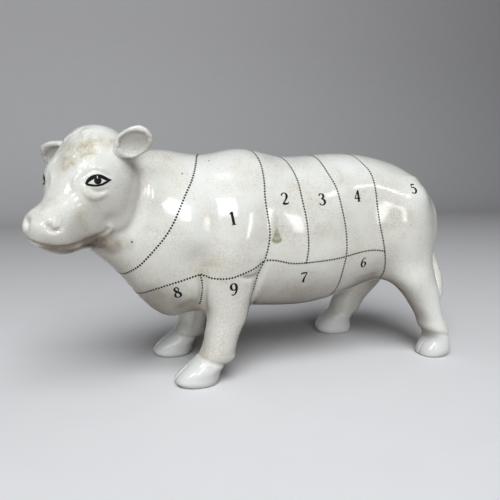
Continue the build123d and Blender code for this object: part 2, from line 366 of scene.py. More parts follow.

# Tan stain on poll, face and joints; painted shade in brown under the jaw, chin, brisket
# and belly; and darker brown in the narrow tooled creases.
blotch = recipe.noise(85, 4, 0.62).between(0.38, 0.6)
streak = recipe.noise(260, 4, 0.65).between(0.38, 0.6)
# Mostly tan stain; the spot at (-88, -45, 88), low on the shoulder, is painted shade in its hollow.
tan = recipe.stain_and_shade_spots((
    ((-170, -38, 161), 12, 0.8), ((-174, -28, 165), 12, 0.7), ((-167, -42, 157), 9, 0.7),
    ((-160, -41, 165), 12, 0.55), ((-152, -38, 169), 10, 0.45), ((-147, -38, 164), 8, 0.7),
    ((-176, -36, 154), 10, 0.4), ((-163, -30, 174), 14, 0.3), ((-162, -52, 131), 12, 0.36),
    ((-168, -50, 122), 10, 0.3), ((-176, -50, 137), 11, 0.3), ((-184, -48, 133), 10, 0.22),
    ((-156, -34, 103), 16, 0.6), ((-146, -36, 104), 14, 0.4), ((-131, -31, 152), 9, 0.6),
    ((-143, -37, 167), 5, 0.8), ((-167, -43, 160), 10, 0.75), ((-171, -42, 155), 9, 0.65),
    ((-156, -47, 160), 9, 0.4), ((-161, -42, 164), 9, 0.5), ((-175, -40, 150), 8, 0.35),
    ((-86, -38, 24), 10, 0.6), ((-84, 34, 24), 12, 0.4), ((99, -42, 22), 11, 0.4), ((66, 38, 22), 11, 0.4),
    ((-158, -50, 124), 16, 0.36), ((-166, -54, 116), 12, 0.3), ((-175, -44, 126), 14, 0.28),
    ((-148, -36, 112), 12, 0.35), ((-88, -45, 88), 14, 0.5), ((-86, -30, 52), 15, 0.55),
    ((-90, 0, 52), 30, 0.35), ((60, -8, 58), 34, 0.4), ((76, -30, 66), 16, 0.3), ((-104, -30, 146), 22, 0.24),
    ((-120, -30, 80), 26, 0.22), ((100, -5, 140), 26, 0.16), ((-60, -32, 146), 20, 0.3),
    ((-95, -42, 76), 18, 0.3), ((62, -44, 86), 18, 0.2)))
cream = recipe.tint(tan * (0.24 + blotch * 0.36 + streak * blotch * 0.4), cream, shades["tan"])
# Painted shade: dark brown under the jaw and chin, under the brisket, inside the fore legs and under the belly, where
# the figure lies in shade.
painted_shade = recipe.stain_and_shade_spots((
    ((-157, -36, 104), 9, 1.1), ((-162, -40, 101), 14, 1.1), ((-176, -54, 100), 11, 1.1),
    ((-185, -56, 102), 9, 0.85), ((-148, -34, 102), 10, 0.7), ((-138, -34, 103), 9, 0.25),
    ((-114, -26, 60), 24, 0.6), ((-86, -22, 50), 14, 0.5), ((-12, -14, 48), 46, 0.45)), 0.35)
cream = recipe.tint(painted_shade * (0.72 + blotch * 0.2), cream, shades["painted_shade"])
# Darker brown in the narrow tooled creases, as deep as each crease is cut.
fold = recipe.node("Attribute", dict(attribute_name="fold"), {}, 2)
cream = recipe.tint(fold.between(0.2, 1.7) * (0.55 + streak * 0.3), cream, shades["fold"])

# A green run on the left ribs: a thin trail down to a pool with a darker rim,
# measured in millimetres across it and up from its foot.
run_place = (-36.5 + middle[0]) / 1000, 0.1005
across = ((along_body - run_place[0]) * 1000).maths("ABSOLUTE")
up = (tall - run_place[1]) * 1000
foot = up - across * across * 0.12
left_side = depth.between(-0.04, -0.03, 1, 0)
inside = across - (4.7 - up * 0.42)
pool = inside.between(-1.4, 0.8, 1, 0) * foot.between(-1.6, 0.4) * up.between(6.5, 11, 1, 0)
rim = pool * (inside.between(-2.0, -0.4) * 0.35 + foot.between(2.6, 0.6) * 0.8).maths("MINIMUM", 1.0)
trail = across.between(0.4, 2.6, 1, 0) * up.between(2, 8) * up.between(12, 24, 1, 0) * 0.5
green = (pool * (0.42 + streak * 0.2) + rim * 0.5 + trail * (0.3 + streak * 0.5)).maths("MINIMUM", 0.95) * left_side
cream = recipe.tint(green, cream, shades["green"])

# Specks of iron burnt in the firing, by their radius.
speck = 0
for place, size in (
        ((-134.4, -37.8, 104.2), 0.75), ((-99, -30.2, 147.7), 0.7), ((-77.5, -20.2, 156.6), 0.6),
        ((10, -46, 92), 0.4), ((60, 38, 128), 0.6), ((-40, 41, 130), 0.5), ((96, -30, 120), 0.45)):
    speck = speck + recipe.near(place, size + 0.35, size - 0.35)
cream = recipe.tint(speck.maths("MINIMUM", 0.85), cream, shades["speck"])
height = recipe.noise(75, 2, 0.5) * 0.45 + recipe.noise(26, 2, 0.5) * 0.5 + fine * 0.01 - net * 0.008
recipe.feed(
    Base_Color=cream, Roughness=cloud.between(0.3, 0.7, 0.1, 0.16), IOR=1.5, Coat_Weight=0.5, Coat_Roughness=0.04,
    Normal=recipe.node("Bump", {}, {"Strength": 0.5, "Distance": 0.001, "Height": height}))
glaze = recipe.material


# Four legs, cast hollow with the barrel: sturdy shanks that lean forward into
# broad cloven hooves, the cleft tooled into the front and heel of each. Stations
# up a leg are height, toe side, heel side, middle and half width.
leg_rows = {
    "fore_leg_left": [
        (0, -105, -77, -33, 12), (3, -107.5, -76, -33, 13), (6, -106.5, -75, -33, 13), (10, -102.5, -73.5, -33, 13),
        (15.5, -95.5, -68, -33, 12), (22, -89, -64, -33, 12), (34, -85.5, -60.4, -33, 12),
        (45, -83.5, -54.6, -32, 12.7), (56, -83, -51.8, -31, 14), (67, -84, -47.5, -29, 15.5),
        (80, -84.5, -43.5, -26.5, 16.5), (100, -86, -40, -24, 17), (125, -82, -48, -20, 13),
    ],
    "hind_leg_left": [
        (0, 94, 118, -37, 12), (3, 94.4, 120, -37, 13), (8, 97, 120.5, -37, 13), (17, 100.6, 119, -37, 12),
        (22, 96.6, 118, -37, 12), (29, 94.2, 115.5, -36, 12), (40, 88, 111.5, -35, 12), (52, 79, 110, -34, 13),
        (65, 66.5, 107.5, -31, 15.5), (80, 58, 106, -26.5, 17.5), (100, 53, 105, -23.5, 17.5), (125, 58, 98, -20, 14),
        (138, 64, 90, -16, 9),
    ],
    "hind_leg_right": [
        (0, 44, 74, 44, 12), (3, 41, 75, 44, 13), (7, 41, 75, 44, 13), (14, 46, 75, 44, 13), (20, 53, 81, 43.5, 12.5),
        (29, 57, 87, 43, 12.5), (40, 64, 95, 40, 13), (52, 66, 103, 36, 14), (65, 62.5, 107.5, 32, 15.5),
    ],
}
leg_rows["hind_leg_right"] += [(z, toe, heel, -y, half) for z, toe, heel, y, half in leg_rows["hind_leg_left"][-4:]]
leg_rows["fore_leg_right"] = [(z, toe - 5, heel - 5, -y, half) for z, toe, heel, y, half in leg_rows["fore_leg_left"]]


def leg_form(rows):
    def leg(x, y, z, step):
        toe, heel, centre, half = (c[None, None, :] for c in fair_curve(rows, z[0, 0, :]).T.astype(np.float32))
        length = (heel - toe) / 2
        level = rounded(y - centre, x - (toe + heel) / 2, half, length, length)
        return np.maximum(to_distance(level, step, (0, 0, 1)), z - rows[-1][0])
    return leg


clay.swell((119, -2, 98), (16, 34, 30), -2.0)
clay.swell((-92, -2, 45), (10, 24, 10), -3.4)

# Muscles and hollows of a flank: place on the near side, reach and height.
muscles = [
    ((-97, 42, 112), (15, 22, 26), 1.5), ((-78, 44, 118), (9, 20, 24), -1.0), ((-59, 46, 112), (13, 22, 24), 0.9),
    ((-42, 46, 112), (9, 20, 26), -0.8), ((-18, 47, 104), (17, 22, 26), 0.9), ((36, 45, 112), (20, 24, 30), -1.8),
    ((74, 44, 112), (17, 22, 26), 1.6), ((48, 34, 140), (16, 20, 14), 0.9), ((88, 29, 141), (13, 12, 9), 0.9),
    ((89, 38, 132), (12, 12, 11), 2.0), ((-94, 33, 50), (7, 9, 8), -5.5), ((-91, 46, 88), (10, 16, 13), -3.0),
    ((-102, 42, 106), (18, 18, 14), 1.4), ((-66, 46, 92), (11, 16, 15), 1.3),
]
# Creases before, behind and above a fore leg: path, width and depth.
creases = [
    ([(-87.5, 42.5, 84), (-87.5, 40.6, 76.3), (-87.0, 37.5, 67.7), (-86.4, 33.2, 58.1), (-85.2, 30.6, 51)], 2.5, 4.4),
    ([(-44.0, 46.6, 90), (-48.4, 44.6, 77.8), (-51.0, 40.6, 66.4), (-53.2, 36, 56)], 3.2, 2.0),
    ([(-64, 45, 78.5), (-57.5, 45.2, 77.2), (-50.5, 44, 78.5)], 1.9, 1.4),
]
far_shift = 4  # the far fore leg stands this much further forward
for side in (-1, 1):
    for place, reach, height in muscles:
        clay.swell((place[0], place[1] * side, place[2]), reach, height)
    for path, width, depth in creases:
        clay.tool([(x - (far_shift if side > 0 else 0), y * side, z) for x, y, z in path], width, depth)

leg_top = {"fore": 42.0, "hind": 55.94}
# A hoof's cleft depth, the height of its top in front and behind, the depth of
# the crease round it, and the bulge above that.
hoof_tooling = {"fore": (2.6, 20.6, 12.8, 1.1, -0.3), "hind": (0.4, 20.5, 16.5, 0.5, -0.1)}
for name, rows in leg_rows.items():
    span = np.array(rows)
    clay.add(leg_form(rows), (span[:, 1].min() - 18, span[:, 3].min() - 38, -20),
             (span[:, 2].max() + 18, span[:, 3].max() + 38, 160), fillet=11)
    cleft, front_rise, back_rise, crease, bulge = hoof_tooling[name[:4]]
    for edge, heights, width, cut in ((1, (-2, 3, 8, 13), 0.9, cleft), (2, (-2, 3, 7, 10), 1.5, 1.4)):
        line = [(r[0], r[edge], r[3]) for r in rows]
        clay.tool([(*fair_curve(line, np.array([z]))[0], z) for z in heights], width, cut)
    coronet, fetlock = [], []
    for angle in np.linspace(-math.pi - 0.15, math.pi + 0.15, 15):
        for ring, lift in ((coronet, 0.0), (fetlock, 5.0)):
            z = (front_rise + back_rise) / 2 - (front_rise - back_rise) / 2 * math.cos(angle) + lift
            front_x, back_x, centre, half = fair_curve(rows, np.array([z]))[0]
            ring.append(((front_x + back_x) / 2 + (back_x - front_x) / 2 * math.cos(angle),
                         centre + half * math.sin(angle), z))
    clay.tool(coronet, 1.6, crease)
    clay.tool(fetlock, 3.0, bulge)
    if name[:4] == "fore":
        clay.swell((fair_curve(rows, np.array([17.5]))[0][1] - 0.5, rows[4][3], 17.5), (5, 10, 3.6), 2.8)
for name, rows in leg_rows.items():
    span, top = np.array(rows[:9]), leg_top[name[:4]]
    low = (span[:, 1].min() - 6, span[:, 3].min() - 20, -3)
    high = (span[:, 2].max() + 6, span[:, 3].max() + 20, top + 4)
    clay.cast(name, low, high, step=0.6, cuts=[((0, 0, top), (0, 0, 1), *everywhere)], stands=True)


# The head, turned to the left and bowed: broad forehead, cheeks and a rounded
# muzzle, modelled in the mould. Its own directions are forwards, left and up.
head_seat = np.array((-141.8, -6.8, 155.0))
turn, bow = math.radians(44), math.radians(34.5)
face_front = np.array((-math.cos(turn) * math.cos(bow), -math.sin(turn) * math.cos(bow), -math.sin(bow)))
face_left = np.array((math.sin(turn), -math.cos(turn), 0))
face_up = np.cross(face_front, face_left)
# Stations along the head: place, half width, rise to the forehead, drop to the jaw.
head_rows = [
    (-14, 8.3, 13.7, 8.9), (-4, 19.8, 26.8, 21), (10, 26.2, 34.3, 31.9), (24, 29.0, 32.7, 39.9),
    (38, 26.6, 26.3, 39.6), (50, 18.6, 17.2, 32.8), (60, 15.7, 14, 25.7), (70, 17.2, 14.2, 19.9),
    (77, 14.9, 11.8, 13.7), (81.5, 7.8, 7.4, 5.9), (83.3, 2.7, 2.9, 2.0),
]


def on_face(forward, left, up):
    return head_seat + face_front * forward + face_left * left + face_up * up


def head_form(x, y, z, step):
    forward, left, up = (sum(a * (v - c) for a, v, c in zip(axis, (x, y, z), head_seat)).astype(np.float32)
                         for axis in (face_front, face_left, face_up))
    table = np.arange(head_rows[0][0], head_rows[-1][0] + 0.1, 0.1)
    width, rise, drop = fair_curve(head_rows, table).T.astype(np.float32)
    at = np.clip((forward - table[0]) * 10, 0, len(table) - 1.01)
    i, f = at.astype(int), at % 1
    width, rise, drop = (c[i] * (1 - f) + c[i + 1] * f for c in (width, rise, drop))
    level = rounded(left, up, width, rise, drop)
    ends = np.maximum(head_rows[0][0] - forward, forward - head_rows[-1][0])
    return np.maximum(to_distance(level, step, face_front), ends)


clay.add(head_form, (-235, -100, 60), (-90, 45, 215), fillet=5)
eyes_middle = 3  # the line midway between the eyes lies this far to the left


def both_eyes(path):
    """A path beside the left eye and its twin beside the right one."""
    return [on_face(*p) for p in path], [on_face(f, 2 * eyes_middle - l, u) for f, l, u in path]


clay.swell(on_face(28.5, -11.5, 30.0), 14, -3.4)
clay.swell(on_face(18.0, 4.0, 36.0), 15, -1.5)

# Round each eye: eyeball and brow, then the upper lid's fold, the bag under the
# eye with the crease above it, and the ridge at the inner corner.
for place, height in (((38.0, 21.0, 15.0), 1.3), ((34.5, 19.5, 22.5), 1.1)):
    for twin in both_eyes([place]):
        clay.swell(twin[0], 6.5, height)
for path, width, depth in (
        ([(42.5, 15.6, 18.0), (40.2, 17.6, 19.0), (36.2, 21.4, 19.0), (33.2, 25.2, 15.2),
          (31.6, 26.8, 11.6)], 1.2, 0.9),
        ([(44.6, 15.6, 16.4), (47.0, 17.2, 11.6), (45.8, 20.5, 6.5), (41.0, 24.2, 5.1)], 1.9, -1.6),
        ([(44.6, 19.2, 11.8), (42.6, 22.4, 8.2), (38.6, 25.4, 6.6)], 1.3, 0.7),
        ([(48.6, 12.6, 14.6), (47.0, 12.1, 17.0), (44.6, 12.3, 18.9), (41.9, 14.4, 20.4)], 1.5, -1.2)):
    for twin in both_eyes(path):
        clay.tool(twin, width, depth)


def tool_face(path, width, depth, side=1):
    clay.tool([on_face(f, l * side, u) for f, l, u in path], width, depth)


# The nostrils, each a tooled slit with a hollow in it and a full wing above.
tool_face([(76.4, 8.9, 9.0), (77.2, 10.4, 7.2), (77.0, 12.2, 6.0), (75.8, 14.1, 5.2), (74.2, 15.3, 5.3)], 1.25, 1.7)
tool_face([(75.4, -7.6, 11.6), (76.7, -6.0, 10.2), (77.9, -4.7, 9.4), (79.4, -2.9, 9.0)], 1.25, 1.7)
clay.swell(on_face(76.2, 10.6, 8.0), 2.2, -1.2)
clay.swell(on_face(77.2, -5.6, 10.0), (3.0, 3.0, 3.6), -2.4)
clay.swell(on_face(72.6, 12.4, 10.6), 4.2, 1.1)
clay.swell(on_face(73.0, -6.0, 14.0), 4.5, 0.7)
mouth_line = (
    (48.3, -18.6, -17.0), (52.5, -16.0, -17.9), (59.0, -14.2, -15.0), (66.0, -15.2, -9.8), (72.5, -16.2, -4.8),
    (78.0, -13.2, 0.2), (81.3, -8.1, 2.6), (83.3, -2.5, 1.5), (82.5, 4.8, -1.6), (80.4, 9.1, -4.4),
    (77.4, 12.6, -6.6), (71.8, 15.0, -10.2), (65.0, 13.9, -14.0), (58.4, 12.9, -17.2), (52.9, 14.3, -19.2),
    (49.5, 16.7, -19.8), (47.8, 18.8, -18.4))
lip_corner = ((47.2, 19.8, -14.6), (45.3, 20.2, -18.6), (47.0, 17.8, -22.0))
jaw_line = (
    (53.9, 13.9, -22.5), (45.0, 21.0, -26.0), (38.0, 27.2, -25.6), (30.8, 31.4, -20.2), (21.5, 33.4, -12.0),
    (11.5, 32.0, -3.6), (4.0, 28.8, 6.0))
tool_face(mouth_line, 1.4, 2.5)
for side in (1, -1):
    tool_face(lip_corner, 1.6, -0.9, side)
    clay.swell(on_face(44.6, 21.8 * side, -12.6), 4.5, -1.0)
    tool_face(jaw_line, 3.6, 2.6, side)
    clay.swell(on_face(15, 26 * side, -7), 13, 2.2)

# Curls of hair on the poll, scratched in and raised by turns, in rows of seven.
for i in range(26):
    row, place = divmod(i, 7)
    forward, left = 35.0 - 6.0 * row + 1.8 * math.sin(2.1 * i), -12.0 + 4.6 * place + 2.3 * (row % 2)
    sway = 2.0 * math.cos(1.7 * i)
    curl = [(forward - 2.1 * k, left + sway * math.sin(1.9 * k + i)) for k in range(4)]
    curl = [(f, l, 33.6 - 0.013 * (f - 14)**2 - 0.017 * (l - 1)**2) for f, l in curl]
    tool_face(curl, 1.05, 1.0 if i % 2 else -0.8)

# The neck is cut behind the poll, where head and barrel are luted together.
neck_place, neck_slope = (-123.5, -3.0, 163.5), (-0.80, -0.42, 0.43)
neck_cut = (neck_place, neck_slope, *everywhere)
head_cut = (neck_place, tuple(-v for v in neck_slope), *everywhere)
head = clay.cast("head", (-212, -82, 66), (-104, 26, 198), step=0.65, cuts=[head_cut])


# The two ears, pinched from clay and luted on before firing: leaves curled into
# a thick-rimmed cup that faces forwards. Stations run from root to tip, with the
# leaf's half width and its clay before and behind, or the cup's half width and depth.
ear_rows = [
    (-8, 3.2, 3.2, 4.2), (-1, 5.0, 3.5, 5.2), (2.5, 7.6, 3.8, 6.2), (5.5, 9.4, 3.9, 6.8), (9.5, 10.3, 3.7, 7.0),
    (14, 10.5, 3.3, 6.8), (18.5, 10.3, 3.0, 6.2), (23, 9.1, 2.6, 5.2), (26.4, 6.8, 2.1, 3.8), (28.4, 3.3, 1.4, 2.0)]
cup_rows = [
    (4.2, 2.6, 1.2), (6, 5.6, 3.4), (9.5, 7.6, 5.2), (14, 7.9, 5.4), (18.5, 7.0, 4.2), (22.3, 4.8, 2.4),
    (25, 1.8, 0.8)]
cup_forward, cup_mouth, rim_fillet = 1.2, 30, 3.0


def ear_form(root, along, across, front, size):
    def ear(x, y, z, step):
        a, b, c = (sum(d * (v - r) for d, v, r in zip(axis, (x, y, z), root)) / size
                   for axis in (along, across, front))

        def ended(level, rows):
            ends = np.maximum(rows[0][0] - a, a - rows[-1][0])
            return np.maximum(to_distance(level, step / size, along), ends)
        half, fore, back = (v.reshape(a.shape) for v in fair_curve(ear_rows, a.ravel()).T)
        leaf = ended(rounded(b, c, half, fore, back, 2.1), ear_rows)
        half, deep = (v.reshape(a.shape) for v in fair_curve(cup_rows, a.ravel()).T)
        cup = ended(rounded(b, c - cup_forward, half, cup_mouth, deep, 2.0), cup_rows)
        return -melt(-leaf, cup, rim_fillet) * size
    return ear


for name, side, rise, open_out, start, size in (("ear_left", 1, 17, 22, (15.3, 25.1, 18.8), 0.88),
                                                ("ear_right", -1, 0, 0, (7.3, -18.8, 9.7), 1.2)):
    rise, open_out = math.radians(rise), math.radians(open_out)
    front = face_front * math.cos(open_out) + face_left * side * math.sin(open_out)
    outward = face_left * side * math.cos(open_out) - face_front * math.sin(open_out)
    along = outward * math.cos(rise) + face_up * math.sin(rise)
    across = np.cross(front, along) * side
    root = on_face(*start)
    tip = root + along * 32 * size
    low, high = np.minimum(root, tip) - 16, np.maximum(root, tip) + 16
    pinch = Mould()
    pinch.add(ear_form(root, along, across, front, size), low - 5, high + 5)
    pinch.cast(name, low, high, step=0.5)


# The tail, a rolled strip laid against the rump, its tuft resting on the back
# of the left hock, where it is luted to the leg.
tail_path = [
    (90, 2, 136), (97.5, 2.5, 132.5), (104.2, 3, 127), (110.6, 3, 118), (114.6, 1, 105.5), (116.4, -5, 93),
    (117, -12, 82), (116.8, -18, 72), (116.6, -22.5, 62.5), (116, -24.8, 53.5), (114.8, -25.5, 45.5),
    (111.6, -25.4, 38)]
tail_radii = [2.4, 3.0, 3.6, 4.2, 4.8, 5, 5, 5.3, 6.2, 7.0, 7.0, 4.8]


def tail_form(x, y, z, step):
    line = smooth_line([(*p, r) for p, r in zip(tail_path, tail_radii)], 67)
    best = np.full(np.broadcast_shapes(x.shape, y.shape, z.shape), Mould.open_air)
    for start, end in zip(line[:-1], line[1:]):
        t, gap = from_run(x, y, z, start[:3], end[:3])
        best = np.minimum(best, np.sqrt(gap) - start[3] - t * (end[3] - start[3]))
    return best


rolled = Mould()
rolled.add(tail_form, (80, -50, 20), (140, 20, 160))
for shift in (-3.2, 0.4, 3.8):
    rolled.tool([(119.5, -21 + shift, 60), (119.5, -24 + shift, 52), (118.5, -25 + shift, 44),
                 (114, -25 + shift * 0.4, 36)], 0.9, 0.9)
rolled.cast("tail", (86, -38, 26), (130, 12, 150), step=0.6)


# The barrel itself, cast last, when legs and head have been run into it. It ends
# in a flat joint at the neck and above each leg, where the parts are luted on.
leg_cuts = [((0, 0, leg_top["fore"]), (0, 0, -1), (-300, -300, -50), (0, 300, 300)),
            ((0, 0, leg_top["hind"]), (0, 0, -1), (60, -300, -50), (300, 300, 300))]
trunk = clay.cast("trunk", (-180, -64, 36), (130, 64, 182), step=1.13, cuts=[neck_cut, *leg_cuts])


# Printed lines, one row of small black dots round each cut of the butcher's
# chart, transferred on to the fired coat. Places are turns round the body, 0 on
# the back and 180 below, and x along it.
ink_recipe = Recipe("black ceramic ink")
worn = ink_recipe.noise(420, 3)
ink_recipe.feed(Base_Color=ink_recipe.tint(worn.between(0.45, 0.75), (0.008, 0.008, 0.009), (0.028, 0.027, 0.025)),
                Roughness=worn.between(0.3, 0.7, 0.3, 0.45), Specular_IOR_Level=0.12)
ink = ink_recipe.material


def round_body(x, turn):
    """A guide point outside the coat; the turn is 0 on the back and grows towards the left side."""
    return (np.array((x, -85 * math.sin(math.radians(turn)), 100 + 85 * math.cos(math.radians(turn)))) + middle) / 1000


# Lines round the whole body: turn, x.
full_turns = [
    [(180, -150), (158, -147.5), (130, -140), (117, -135), (108, -129.5), (95, -122), (79, -112.6),
     (66, -106.3), (57, -102.6), (45.5, -97.2), (37, -92.8), (24, -88), (12, -84.5), (0, -80)],
    [(104.5, -45.2), (91, -42.5), (78, -41.6), (62, -43.1), (51, -43.5), (40, -42.5), (23, -42), (0, -44)],
    [(107.6, -13.7), (98, -12.7), (88.5, -12.7), (71, -13.8), (55, -15.5), (41, -16.1), (27, -17.7), (0, -21)],
    [(180, 14), (149, 16.4), (131, 17.5), (118, 17.7), (106, 19.1), (90, 19.1), (72.5, 17.3), (58, 15.1),
     (43.6, 12.8), (29, 9), (0, 8)],
    [(138, 59), (124, 57.4), (108, 54.3), (92, 51), (69, 47.2), (48, 46.2), (33, 45.5), (23.6, 42.7), (0, 38)],
]
# Lines on each side: x, turn.
side_runs = [
    [(-132.5, 177), (-131, 160), (-127.4, 144.2), (-119.7, 132.2), (-106.9, 123.4), (-93.8, 117.8), (-89, 117)],
    [(-89, 117), (-85.6, 118), (-73.3, 116.8), (-62.9, 113.7), (-52.2, 109.4), (-45.1, 104.6)],
    [(-45.1, 104.6), (-37.7, 104.7), (-28, 107.2), (-18.4, 108.2), (1.4, 107.3), (18.6, 105.6), (39.3, 102.5),
     (53.2, 103.9)],
    [(-89.6, 117.5), (-87.7, 129), (-88, 145.3)],
    [(-45.8, 106), (-49.4, 116.7), (-51.8, 129.7), (-54, 135.3)],
]


dot_face, dot_foot, dot_depth, dot_sunk = 0.00074, 0.00088, 0.00022, 0.00016


def dotted(guides, pitch, dot):
    """Dots along guide lines that are first drawn in on to the coat."""
    lines = bpy.data.meshes.new("printed_lines")
    points, edges = [], []
    for guide in guides:
        edges += [(len(points) + i, len(points) + i + 1) for i in range(len(guide) - 1)]
        points += [tuple(p) for p in guide]
    lines.from_pydata(points, edges, [])
    piece = set_out("printed_lines", lines)
    tree = bpy.data.node_groups.new("dotted line", "GeometryNodeTree")
    panel = tree.interface
    panel.new_socket("Guides", in_out="INPUT", socket_type="NodeSocketGeometry")
    inputs = {name: panel.new_socket(name, in_out="INPUT", socket_type="NodeSocket" + kind) for name, kind in (
        ("Coat", "Object"), ("Pitch", "Float"), ("Dot", "Float"), ("Ink", "Material"))}
    panel.new_socket("Dots", in_out="OUTPUT", socket_type="NodeSocketGeometry")

    def node(kind, links, **settings):
        made = tree.nodes.new(kind)
        for key, value in settings.items():
            setattr(made, key, value)
        for key, value in links.items():
            if isinstance(value, bpy.types.NodeSocket):
                tree.links.new(value, made.inputs[key])
            else:
                made.inputs[key].default_value = value
        return made.outputs

    def nearest(value):
        """A reading of the coat at its nearest point."""
        values = {"Mesh": coat, "Value": value}
        return node("GeometryNodeSampleNearestSurface", values, data_type="FLOAT_VECTOR")["Value"]
    given = node("NodeGroupInput", {})
    coat = node("GeometryNodeObjectInfo", {"Object": given["Coat"]}, transform_space="RELATIVE")["Geometry"]
    curve = node("GeometryNodeMeshToCurve", {0: given["Guides"]})[0]
    spot = nearest(node("GeometryNodeInputPosition", {})[0])
    outward = nearest(node("GeometryNodeInputNormal", {})[0])
    drawn = node("GeometryNodeSetPosition", {0: curve, "Position": spot})[0]
    even = node("GeometryNodeResampleCurve", {0: drawn, "Length": given["Pitch"]}, mode="LENGTH")[0]
    placed = node("GeometryNodeSetPosition", {0: even, "Position": spot})[0]
    turned = node("FunctionNodeAlignRotationToVector", {"Vector": outward}, axis="Z")[0]
    cone = node("GeometryNodeMeshCone", {
        "Vertices": 8, "Side Segments": 1, "Radius Top": dot_face, "Radius Bottom": dot_foot, "Depth": dot_depth})[0]
    set_down = node("GeometryNodeTransform", {0: cone, "Translation": (0, 0, -dot_sunk)})[0]
    dots = node("GeometryNodeInstanceOnPoints", {
        0: placed, "Instance": set_down, "Rotation": turned, "Scale": given["Dot"]})[0]
    solid = node("GeometryNodeRealizeInstances", {0: dots})[0]
    inked = node("GeometryNodeSetMaterial", {0: solid, "Material": given["Ink"]})[0]
    node("NodeGroupOutput", {0: inked})
    modifier = piece.modifiers.new("dots", "NODES")
    modifier.node_group = tree
    for name, value in (("Coat", trunk), ("Pitch", pitch), ("Dot", dot), ("Ink", ink)):
        modifier[inputs[name].identifier] = value
    bpy.context.view_layer.update()
    solid_mesh = bpy.data.meshes.new_from_object(piece.evaluated_get(bpy.context.evaluated_depsgraph_get()))
    piece.modifiers.clear()
    piece.data = solid_mesh
    return piece


def cast_on(coat, guide):
    """The spot of the coat below a guide point, seen from outside."""
    axis = Vector((guide[0], middle[1] / 1000, (100 + middle[2]) / 1000))
    return coat.ray_cast(Vector(guide), axis - Vector(guide))


coat = BVHTree.FromObject(trunk, bpy.context.evaluated_depsgraph_get())
guides = []
for rows in full_turns:
    half = smooth_line([(x, turn) for turn, x in rows], 90)
    ring = [(x, turn) for x, turn in half] + [(x, -turn) for x, turn in half[-2::-1]]
    guides.append([cast_on(coat, round_body(x, turn))[0] for x, turn in ring])
for rows in side_runs:
    run = smooth_line(rows, 70)
    for side in (1, -1):
        guides.append([cast_on(coat, round_body(x, turn * side))[0] for x, turn in run])
guides = [[p for p in guide if p is not None] for guide in guides]
printed = dotted(guides, pitch=0.00202, dot=1.0)
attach(printed, "root")


# Plain numbers in the nine cuts, on both sides, in the same black ink: pen
# strokes, thick and thin, that lie on the coat. A stroke's row is x, y, width.
pen_strokes = {
    1: [[(.30, 0, .07), (.30, .5, .07), (.30, 1, .07)], [(.10, .84, .02), (.22, .9, .03), (.31, .99, .035)],
        [(.13, .02, .022), (.30, .02, .026), (.47, .02, .022)]],
    2: [[(.06, .76, .055), (.12, .92, .04), (.3, 1, .03), (.47, .91, .055), (.52, .73, .075), (.44, .5, .055),
         (.24, .24, .035), (.06, .05, .03)],
        [(.05, .06, .03), (.2, .055, .06), (.4, .05, .06), (.56, .08, .03), (.61, .22, .018)]],
    3: [[(.07, .83, .05), (.16, .96, .035), (.3, 1, .03), (.45, .92, .055), (.49, .77, .07), (.38, .6, .045),
         (.22, .54, .022)],
        [(.22, .54, .022), (.4, .5, .045), (.54, .34, .075), (.5, .12, .06), (.3, 0, .032), (.12, .03, .035),
         (.05, .15, .055)]],
    4: [[(.42, 1, .03), (.23, .64, .03), (.03, .29, .03)], [(.03, .29, .032), (.3, .29, .036), (.62, .29, .032)],
        [(.43, 1, .065), (.43, .5, .07), (.43, 0, .07)], [(.27, .02, .022), (.43, .02, .026), (.59, .02, .022)]],
    5: [[(.17, .97, .03), (.15, .76, .03), (.13, .55, .03)], [(.17, .95, .045), (.35, .95, .05), (.54, .98, .03)],
        [(.13, .55, .025), (.3, .62, .04), (.49, .51, .068), (.54, .3, .075), (.45, .09, .055), (.26, 0, .032),
         (.07, .08, .055)]],
    6: [[(.53, .91, .045), (.4, .99, .032), (.21, .86, .045), (.1, .6, .066), (.07, .34, .075), (.14, .1, .06),
         (.3, 0, .03), (.47, .09, .05), (.54, .3, .072), (.46, .5, .055), (.3, .57, .03), (.13, .45, .028)]],
    7: [[(.04, .8, .02), (.07, .94, .045), (.3, .95, .052), (.57, .97, .035)],
        [(.57, .97, .028), (.4, .6, .042), (.29, .3, .062), (.25, 0, .075)]],
    8: [[(.46, .84, .045), (.3, 1, .03), (.14, .86, .055), (.17, .68, .068), (.32, .54, .07), (.48, .4, .07),
         (.53, .2, .065), (.44, .05, .045), (.3, 0, .03), (.13, .06, .045), (.07, .22, .06), (.14, .42, .042),
         (.3, .54, .028), (.43, .67, .03), (.46, .84, .045)]],
    9: [[(.07, .09, .045), (.2, .01, .032), (.39, .14, .045), (.5, .4, .066), (.53, .66, .075), (.46, .9, .06),
         (.3, 1, .03), (.13, .91, .05), (.06, .7, .072), (.14, .5, .055), (.3, .43, .03), (.47, .55, .028)]],
}


